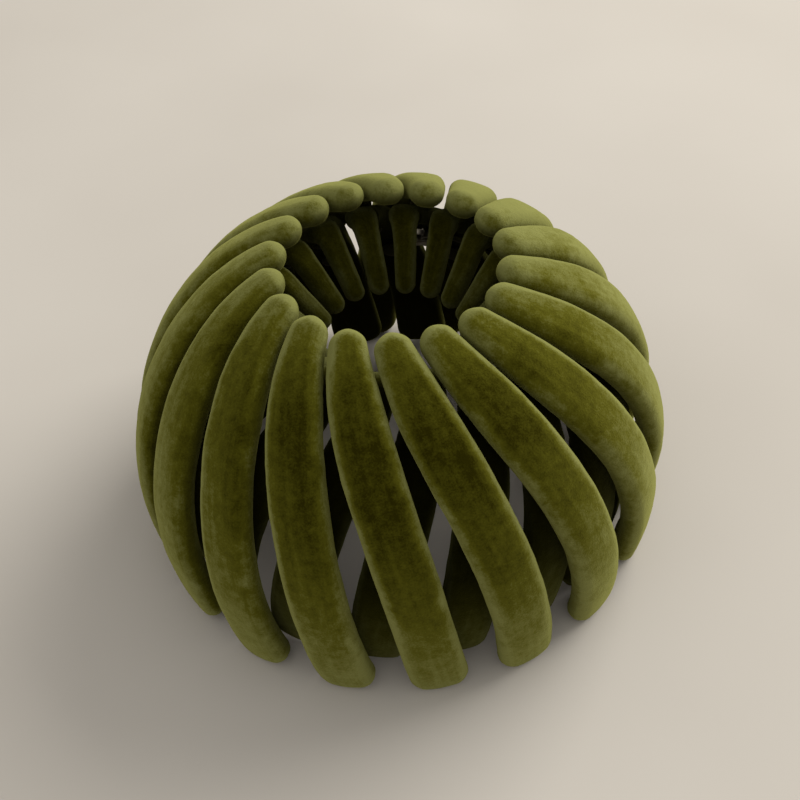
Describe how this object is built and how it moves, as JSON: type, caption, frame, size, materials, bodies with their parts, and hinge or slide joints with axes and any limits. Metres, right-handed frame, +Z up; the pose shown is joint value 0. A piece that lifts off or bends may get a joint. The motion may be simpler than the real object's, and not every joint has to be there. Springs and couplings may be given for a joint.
{
  "type": "expandable hair clip",
  "caption": "Expandable bird's-nest bun clip: a domed ring of crossing flocked slats on rivets, with inward teeth and a latch at the back; spreads like a lattice.",
  "frame": {"origin": "centre of the ring, on the plane the slats' feet stand on", "axes": "+Z up along the ring's axis, out through the toothed rim; -Y towards the front slat, +Y towards the clasp seam"},
  "size_m": [0.0844, 0.0842, 0.0508],
  "materials": {
    "outer_flock": "short olive velvet flock over moulded plastic",
    "inner_flock": "short olive velvet flock over moulded plastic",
    "rivet_plastic": "plain dark green moulded plastic",
    "clasp_metal": "dull antique plating"
  },
  "bodies": {
    "unit_01": {"pivot_rivet_01": "rivet_plastic"},
    "outer_01": {"outer_slat_01": "outer_flock", "clasp_stud": "clasp_metal"},
    "inner_01": {"inner_slat_01": "inner_flock"},
    "unit_02": {"pivot_rivet_02": "rivet_plastic"},
    "outer_02": {"outer_slat_02": "outer_flock"},
    "inner_02": {"inner_slat_02": "inner_flock"},
    "unit_03": {"pivot_rivet_03": "rivet_plastic"},
    "outer_03": {"outer_slat_03": "outer_flock"},
    "inner_03": {"inner_slat_03": "inner_flock"},
    "unit_04": {"pivot_rivet_04": "rivet_plastic"},
    "outer_04": {"outer_slat_04": "outer_flock"},
    "inner_04": {"inner_slat_04": "inner_flock"},
    "unit_05": {"pivot_rivet_05": "rivet_plastic"},
    "outer_05": {"outer_slat_05": "outer_flock"},
    "inner_05": {"inner_slat_05": "inner_flock"},
    "unit_06": {"pivot_rivet_06": "rivet_plastic"},
    "outer_06": {"outer_slat_06": "outer_flock"},
    "inner_06": {"inner_slat_06": "inner_flock"},
    "unit_07": {"pivot_rivet_07": "rivet_plastic"},
    "outer_07": {"outer_slat_07": "outer_flock"},
    "inner_07": {"inner_slat_07": "inner_flock"},
    "unit_08": {"pivot_rivet_08": "rivet_plastic"},
    "outer_08": {"outer_slat_08": "outer_flock"},
    "inner_08": {"inner_slat_08": "inner_flock"},
    "unit_09": {"pivot_rivet_09": "rivet_plastic"},
    "outer_09": {"outer_slat_09": "outer_flock"},
    "inner_09": {"inner_slat_09": "inner_flock"},
    "unit_10": {"pivot_rivet_10": "rivet_plastic"},
    "outer_10": {"outer_slat_10": "outer_flock"},
    "inner_10": {"inner_slat_10": "inner_flock"},
    "unit_11": {"pivot_rivet_11": "rivet_plastic"},
    "outer_11": {"outer_slat_11": "outer_flock"},
    "inner_11": {"inner_slat_11": "inner_flock"},
    "unit_12": {"pivot_rivet_12": "rivet_plastic"},
    "outer_12": {"outer_slat_12": "outer_flock"},
    "inner_12": {"inner_slat_12": "inner_flock"},
    "unit_13": {"pivot_rivet_13": "rivet_plastic"},
    "outer_13": {"outer_slat_13": "outer_flock"},
    "inner_13": {"inner_slat_13": "inner_flock"},
    "unit_14": {"pivot_rivet_14": "rivet_plastic"},
    "outer_14": {"outer_slat_14": "outer_flock"},
    "inner_14": {"inner_slat_14": "inner_flock"},
    "unit_15": {"pivot_rivet_15": "rivet_plastic"},
    "outer_15": {"outer_slat_15": "outer_flock"},
    "inner_15": {"inner_slat_15": "inner_flock"},
    "unit_16": {"pivot_rivet_16": "rivet_plastic"},
    "outer_16": {"outer_slat_16": "outer_flock"},
    "inner_16": {"inner_slat_16": "inner_flock"},
    "unit_17": {"pivot_rivet_17": "rivet_plastic"},
    "outer_17": {"outer_slat_17": "outer_flock"},
    "inner_17": {"inner_slat_17": "inner_flock"},
    "unit_18": {"pivot_rivet_18": "rivet_plastic"},
    "outer_18": {"outer_slat_18": "outer_flock"},
    "inner_18": {"inner_slat_18": "inner_flock", "clasp_pin": "clasp_metal"},
    "latch": {"clasp_latch": "clasp_metal"}
  },
  "joints": [
    {"name": "ring_spread", "type": "slide", "parent": "unit_01", "child": "unit_10", "axis": [-0.0262, -0.9997, 0], "range_m": [0, 0.022]},
    {"name": "outer_01_lean", "type": "hinge", "parent": "unit_01", "child": "outer_01", "pos_m": [0.00096, 0.03674, 0.02902], "axis": [0.0238, 0.9102, 0.4136], "range_deg": [0, 7.55]},
    {"name": "inner_01_lean", "type": "hinge", "parent": "unit_01", "child": "inner_01", "pos_m": [0.00096, 0.03674, 0.02902], "axis": [0.0238, 0.9102, 0.4136], "range_deg": [-7.55, 0]},
    {"name": "unit_02_slide", "type": "slide", "parent": "unit_01", "child": "unit_02", "axis": [-0.989, -0.1478, 0], "range_m": [0, 0.00382]},
    {"name": "outer_02_lean", "type": "hinge", "parent": "unit_02", "child": "outer_02", "pos_m": [-0.01166, 0.03485, 0.02902], "axis": [-0.2889, 0.8634, 0.4136], "range_deg": [0, 7.55]},
    {"name": "inner_02_lean", "type": "hinge", "parent": "unit_02", "child": "inner_02", "pos_m": [-0.01166, 0.03485, 0.02902], "axis": [-0.2889, 0.8634, 0.4136], "range_deg": [-7.55, 0]},
    {"name": "unit_03_slide", "type": "slide", "parent": "unit_01", "child": "unit_03", "axis": [-0.9483, -0.3173, 0], "range_m": [0, 0.00753]},
    {"name": "outer_03_lean", "type": "hinge", "parent": "unit_03", "child": "outer_03", "pos_m": [-0.02288, 0.02876, 0.02902], "axis": [-0.5668, 0.7125, 0.4136], "range_deg": [0, 7.55]},
    {"name": "inner_03_lean", "type": "hinge", "parent": "unit_03", "child": "inner_03", "pos_m": [-0.02288, 0.02876, 0.02902], "axis": [-0.5668, 0.7125, 0.4136], "range_deg": [-7.55, 0]},
    {"name": "unit_04_slide", "type": "slide", "parent": "unit_01", "child": "unit_04", "axis": [-0.8788, -0.4772, 0], "range_m": [0, 0.01101]},
    {"name": "outer_04_lean", "type": "hinge", "parent": "unit_04", "child": "outer_04", "pos_m": [-0.03134, 0.0192, 0.02902], "axis": [-0.7763, 0.4757, 0.4136], "range_deg": [0, 7.55]},
    {"name": "inner_04_lean", "type": "hinge", "parent": "unit_04", "child": "inner_04", "pos_m": [-0.03134, 0.0192, 0.02902], "axis": [-0.7763, 0.4757, 0.4136], "range_deg": [-7.55, 0]},
    {"name": "unit_05_slide", "type": "slide", "parent": "unit_01", "child": "unit_05", "axis": [-0.7826, -0.6225, 0], "range_m": [0, 0.01415]},
    {"name": "outer_05_lean", "type": "hinge", "parent": "unit_05", "child": "outer_05", "pos_m": [-0.03601, 0.00733, 0.02902], "axis": [-0.8922, 0.1815, 0.4136], "range_deg": [0, 7.55]},
    {"name": "inner_05_lean", "type": "hinge", "parent": "unit_05", "child": "inner_05", "pos_m": [-0.03601, 0.00733, 0.02902], "axis": [-0.8922, 0.1815, 0.4136], "range_deg": [-7.55, 0]},
    {"name": "unit_06_slide", "type": "slide", "parent": "unit_01", "child": "unit_06", "axis": [-0.6626, -0.749, 0], "range_m": [0, 0.01686]},
    {"name": "outer_06_lean", "type": "hinge", "parent": "unit_06", "child": "outer_06", "pos_m": [-0.03635, -0.00543, 0.02902], "axis": [-0.9005, -0.1346, 0.4136], "range_deg": [0, 7.55]},
    {"name": "inner_06_lean", "type": "hinge", "parent": "unit_06", "child": "inner_06", "pos_m": [-0.03635, -0.00543, 0.02902], "axis": [-0.9005, -0.1346, 0.4136], "range_deg": [-7.55, 0]},
    {"name": "unit_07_slide", "type": "slide", "parent": "unit_01", "child": "unit_07", "axis": [-0.5225, -0.8526, 0], "range_m": [0, 0.01906]},
    {"name": "outer_07_lean", "type": "hinge", "parent": "unit_07", "child": "outer_07", "pos_m": [-0.0323, -0.01754, 0.02902], "axis": [-0.8001, -0.4344, 0.4136], "range_deg": [0, 7.55]},
    {"name": "inner_07_lean", "type": "hinge", "parent": "unit_07", "child": "inner_07", "pos_m": [-0.0323, -0.01754, 0.02902], "axis": [-0.8001, -0.4344, 0.4136], "range_deg": [-7.55, 0]},
    {"name": "unit_08_slide", "type": "slide", "parent": "unit_01", "child": "unit_08", "axis": [-0.3665, -0.9304, 0], "range_m": [0, 0.02068]},
    {"name": "outer_08_lean", "type": "hinge", "parent": "unit_08", "child": "outer_08", "pos_m": [-0.02435, -0.02753, 0.02902], "axis": [-0.6033, -0.6819, 0.4136], "range_deg": [0, 7.55]},
    {"name": "inner_08_lean", "type": "hinge", "parent": "unit_08", "child": "inner_08", "pos_m": [-0.02435, -0.02753, 0.02902], "axis": [-0.6033, -0.6819, 0.4136], "range_deg": [-7.55, 0]},
    {"name": "unit_09_slide", "type": "slide", "parent": "unit_01", "child": "unit_09", "axis": [-0.1994, -0.9799, 0], "range_m": [0, 0.02168]},
    {"name": "outer_09_lean", "type": "hinge", "parent": "unit_09", "child": "outer_09", "pos_m": [-0.01347, -0.0342, 0.02902], "axis": [-0.3337, -0.8471, 0.4136], "range_deg": [0, 7.55]},
    {"name": "inner_09_lean", "type": "hinge", "parent": "unit_09", "child": "inner_09", "pos_m": [-0.01347, -0.0342, 0.02902], "axis": [-0.3337, -0.8471, 0.4136], "range_deg": [-7.55, 0]},
    {"name": "outer_10_lean", "type": "hinge", "parent": "unit_10", "child": "outer_10", "pos_m": [-0.00096, -0.03674, 0.02902], "axis": [-0.0238, -0.9102, 0.4136], "range_deg": [0, 7.55]},
    {"name": "inner_10_lean", "type": "hinge", "parent": "unit_10", "child": "inner_10", "pos_m": [-0.00096, -0.03674, 0.02902], "axis": [-0.0238, -0.9102, 0.4136], "range_deg": [-7.55, 0]},
    {"name": "unit_11_slide", "type": "slide", "parent": "unit_01", "child": "unit_11", "axis": [0.1478, -0.989, 0], "range_m": [0, 0.02168]},
    {"name": "outer_11_lean", "type": "hinge", "parent": "unit_11", "child": "outer_11", "pos_m": [0.01166, -0.03485, 0.02902], "axis": [0.2889, -0.8634, 0.4136], "range_deg": [0, 7.55]},
    {"name": "inner_11_lean", "type": "hinge", "parent": "unit_11", "child": "inner_11", "pos_m": [0.01166, -0.03485, 0.02902], "axis": [0.2889, -0.8634, 0.4136], "range_deg": [-7.55, 0]},
    {"name": "unit_12_slide", "type": "slide", "parent": "unit_01", "child": "unit_12", "axis": [0.3173, -0.9483, 0], "range_m": [0, 0.02068]},
    {"name": "outer_12_lean", "type": "hinge", "parent": "unit_12", "child": "outer_12", "pos_m": [0.02288, -0.02876, 0.02902], "axis": [0.5668, -0.7125, 0.4136], "range_deg": [0, 7.55]},
    {"name": "inner_12_lean", "type": "hinge", "parent": "unit_12", "child": "inner_12", "pos_m": [0.02288, -0.02876, 0.02902], "axis": [0.5668, -0.7125, 0.4136], "range_deg": [-7.55, 0]},
    {"name": "unit_13_slide", "type": "slide", "parent": "unit_01", "child": "unit_13", "axis": [0.4772, -0.8788, 0], "range_m": [0, 0.01906]},
    {"name": "outer_13_lean", "type": "hinge", "parent": "unit_13", "child": "outer_13", "pos_m": [0.03134, -0.0192, 0.02902], "axis": [0.7763, -0.4757, 0.4136], "range_deg": [0, 7.55]},
    {"name": "inner_13_lean", "type": "hinge", "parent": "unit_13", "child": "inner_13", "pos_m": [0.03134, -0.0192, 0.02902], "axis": [0.7763, -0.4757, 0.4136], "range_deg": [-7.55, 0]},
    {"name": "unit_14_slide", "type": "slide", "parent": "unit_01", "child": "unit_14", "axis": [0.6225, -0.7826, 0], "range_m": [0, 0.01686]},
    {"name": "outer_14_lean", "type": "hinge", "parent": "unit_14", "child": "outer_14", "pos_m": [0.03601, -0.00733, 0.02902], "axis": [0.8922, -0.1815, 0.4136], "range_deg": [0, 7.55]},
    {"name": "inner_14_lean", "type": "hinge", "parent": "unit_14", "child": "inner_14", "pos_m": [0.03601, -0.00733, 0.02902], "axis": [0.8922, -0.1815, 0.4136], "range_deg": [-7.55, 0]},
    {"name": "unit_15_slide", "type": "slide", "parent": "unit_01", "child": "unit_15", "axis": [0.749, -0.6626, 0], "range_m": [0, 0.01415]},
    {"name": "outer_15_lean", "type": "hinge", "parent": "unit_15", "child": "outer_15", "pos_m": [0.03635, 0.00543, 0.02902], "axis": [0.9005, 0.1346, 0.4136], "range_deg": [0, 7.55]},
    {"name": "inner_15_lean", "type": "hinge", "parent": "unit_15", "child": "inner_15", "pos_m": [0.03635, 0.00543, 0.02902], "axis": [0.9005, 0.1346, 0.4136], "range_deg": [-7.55, 0]},
    {"name": "unit_16_slide", "type": "slide", "parent": "unit_01", "child": "unit_16", "axis": [0.8526, -0.5225, 0], "range_m": [0, 0.011]},
    {"name": "outer_16_lean", "type": "hinge", "parent": "unit_16", "child": "outer_16", "pos_m": [0.0323, 0.01754, 0.02902], "axis": [0.8001, 0.4344, 0.4136], "range_deg": [0, 7.55]},
    {"name": "inner_16_lean", "type": "hinge", "parent": "unit_16", "child": "inner_16", "pos_m": [0.0323, 0.01754, 0.02902], "axis": [0.8001, 0.4344, 0.4136], "range_deg": [-7.55, 0]},
    {"name": "unit_17_slide", "type": "slide", "parent": "unit_01", "child": "unit_17", "axis": [0.9304, -0.3665, 0], "range_m": [0, 0.00753]},
    {"name": "outer_17_lean", "type": "hinge", "parent": "unit_17", "child": "outer_17", "pos_m": [0.02435, 0.02753, 0.02902], "axis": [0.6033, 0.6819, 0.4136], "range_deg": [0, 7.55]},
    {"name": "inner_17_lean", "type": "hinge", "parent": "unit_17", "child": "inner_17", "pos_m": [0.02435, 0.02753, 0.02902], "axis": [0.6033, 0.6819, 0.4136], "range_deg": [-7.55, 0]},
    {"name": "unit_18_slide", "type": "slide", "parent": "unit_01", "child": "unit_18", "axis": [0.9799, -0.1994, 0], "range_m": [0, 0.00382]},
    {"name": "outer_18_lean", "type": "hinge", "parent": "unit_18", "child": "outer_18", "pos_m": [0.01347, 0.0342, 0.02902], "axis": [0.3337, 0.8471, 0.4136], "range_deg": [0, 7.55]},
    {"name": "inner_18_lean", "type": "hinge", "parent": "unit_18", "child": "inner_18", "pos_m": [0.01347, 0.0342, 0.02902], "axis": [0.3337, 0.8471, 0.4136], "range_deg": [-7.55, 0]},
    {"name": "latch_swing", "type": "hinge", "parent": "inner_18", "child": "latch", "pos_m": [0.00796, 0.02916, 0.03913], "axis": [-0.1619, -0.6669, -0.7273], "range_deg": [0, 35]}
  ],
  "couplings": [
    {"joint": "outer_01_lean", "follows": "ring_spread", "rad_per_m": 5.9753},
    {"joint": "inner_01_lean", "follows": "ring_spread", "rad_per_m": -5.9753},
    {"joint": "unit_02_slide", "follows": "ring_spread", "ratio": 0.17365},
    {"joint": "outer_02_lean", "follows": "ring_spread", "rad_per_m": 5.9753},
    {"joint": "inner_02_lean", "follows": "ring_spread", "rad_per_m": -5.9753},
    {"joint": "unit_03_slide", "follows": "ring_spread", "ratio": 0.34202},
    {"joint": "outer_03_lean", "follows": "ring_spread", "rad_per_m": 5.9753},
    {"joint": "inner_03_lean", "follows": "ring_spread", "rad_per_m": -5.9753},
    {"joint": "unit_04_slide", "follows": "ring_spread", "ratio": 0.5},
    {"joint": "outer_04_lean", "follows": "ring_spread", "rad_per_m": 5.9753},
    {"joint": "inner_04_lean", "follows": "ring_spread", "rad_per_m": -5.9753},
    {"joint": "unit_05_slide", "follows": "ring_spread", "ratio": 0.64279},
    {"joint": "outer_05_lean", "follows": "ring_spread", "rad_per_m": 5.9753},
    {"joint": "inner_05_lean", "follows": "ring_spread", "rad_per_m": -5.9753},
    {"joint": "unit_06_slide", "follows": "ring_spread", "ratio": 0.76604},
    {"joint": "outer_06_lean", "follows": "ring_spread", "rad_per_m": 5.9753},
    {"joint": "inner_06_lean", "follows": "ring_spread", "rad_per_m": -5.9753},
    {"joint": "unit_07_slide", "follows": "ring_spread", "ratio": 0.86603},
    {"joint": "outer_07_lean", "follows": "ring_spread", "rad_per_m": 5.9753},
    {"joint": "inner_07_lean", "follows": "ring_spread", "rad_per_m": -5.9753},
    {"joint": "unit_08_slide", "follows": "ring_spread", "ratio": 0.93969},
    {"joint": "outer_08_lean", "follows": "ring_spread", "rad_per_m": 5.9753},
    {"joint": "inner_08_lean", "follows": "ring_spread", "rad_per_m": -5.9753},
    {"joint": "unit_09_slide", "follows": "ring_spread", "ratio": 0.98481},
    {"joint": "outer_09_lean", "follows": "ring_spread", "rad_per_m": 5.9753},
    {"joint": "inner_09_lean", "follows": "ring_spread", "rad_per_m": -5.9753},
    {"joint": "outer_10_lean", "follows": "ring_spread", "rad_per_m": 5.9753},
    {"joint": "inner_10_lean", "follows": "ring_spread", "rad_per_m": -5.9753},
    {"joint": "unit_11_slide", "follows": "ring_spread", "ratio": 0.98481},
    {"joint": "outer_11_lean", "follows": "ring_spread", "rad_per_m": 5.9753},
    {"joint": "inner_11_lean", "follows": "ring_spread", "rad_per_m": -5.9753},
    {"joint": "unit_12_slide", "follows": "ring_spread", "ratio": 0.93969},
    {"joint": "outer_12_lean", "follows": "ring_spread", "rad_per_m": 5.9753},
    {"joint": "inner_12_lean", "follows": "ring_spread", "rad_per_m": -5.9753},
    {"joint": "unit_13_slide", "follows": "ring_spread", "ratio": 0.86603},
    {"joint": "outer_13_lean", "follows": "ring_spread", "rad_per_m": 5.9753},
    {"joint": "inner_13_lean", "follows": "ring_spread", "rad_per_m": -5.9753},
    {"joint": "unit_14_slide", "follows": "ring_spread", "ratio": 0.76604},
    {"joint": "outer_14_lean", "follows": "ring_spread", "rad_per_m": 5.9753},
    {"joint": "inner_14_lean", "follows": "ring_spread", "rad_per_m": -5.9753},
    {"joint": "unit_15_slide", "follows": "ring_spread", "ratio": 0.64279},
    {"joint": "outer_15_lean", "follows": "ring_spread", "rad_per_m": 5.9753},
    {"joint": "inner_15_lean", "follows": "ring_spread", "rad_per_m": -5.9753},
    {"joint": "unit_16_slide", "follows": "ring_spread", "ratio": 0.5},
    {"joint": "outer_16_lean", "follows": "ring_spread", "rad_per_m": 5.9753},
    {"joint": "inner_16_lean", "follows": "ring_spread", "rad_per_m": -5.9753},
    {"joint": "unit_17_slide", "follows": "ring_spread", "ratio": 0.34202},
    {"joint": "outer_17_lean", "follows": "ring_spread", "rad_per_m": 5.9753},
    {"joint": "inner_17_lean", "follows": "ring_spread", "rad_per_m": -5.9753},
    {"joint": "unit_18_slide", "follows": "ring_spread", "ratio": 0.17365},
    {"joint": "outer_18_lean", "follows": "ring_spread", "rad_per_m": 5.9753},
    {"joint": "inner_18_lean", "follows": "ring_spread", "rad_per_m": -5.9753}
  ]
}
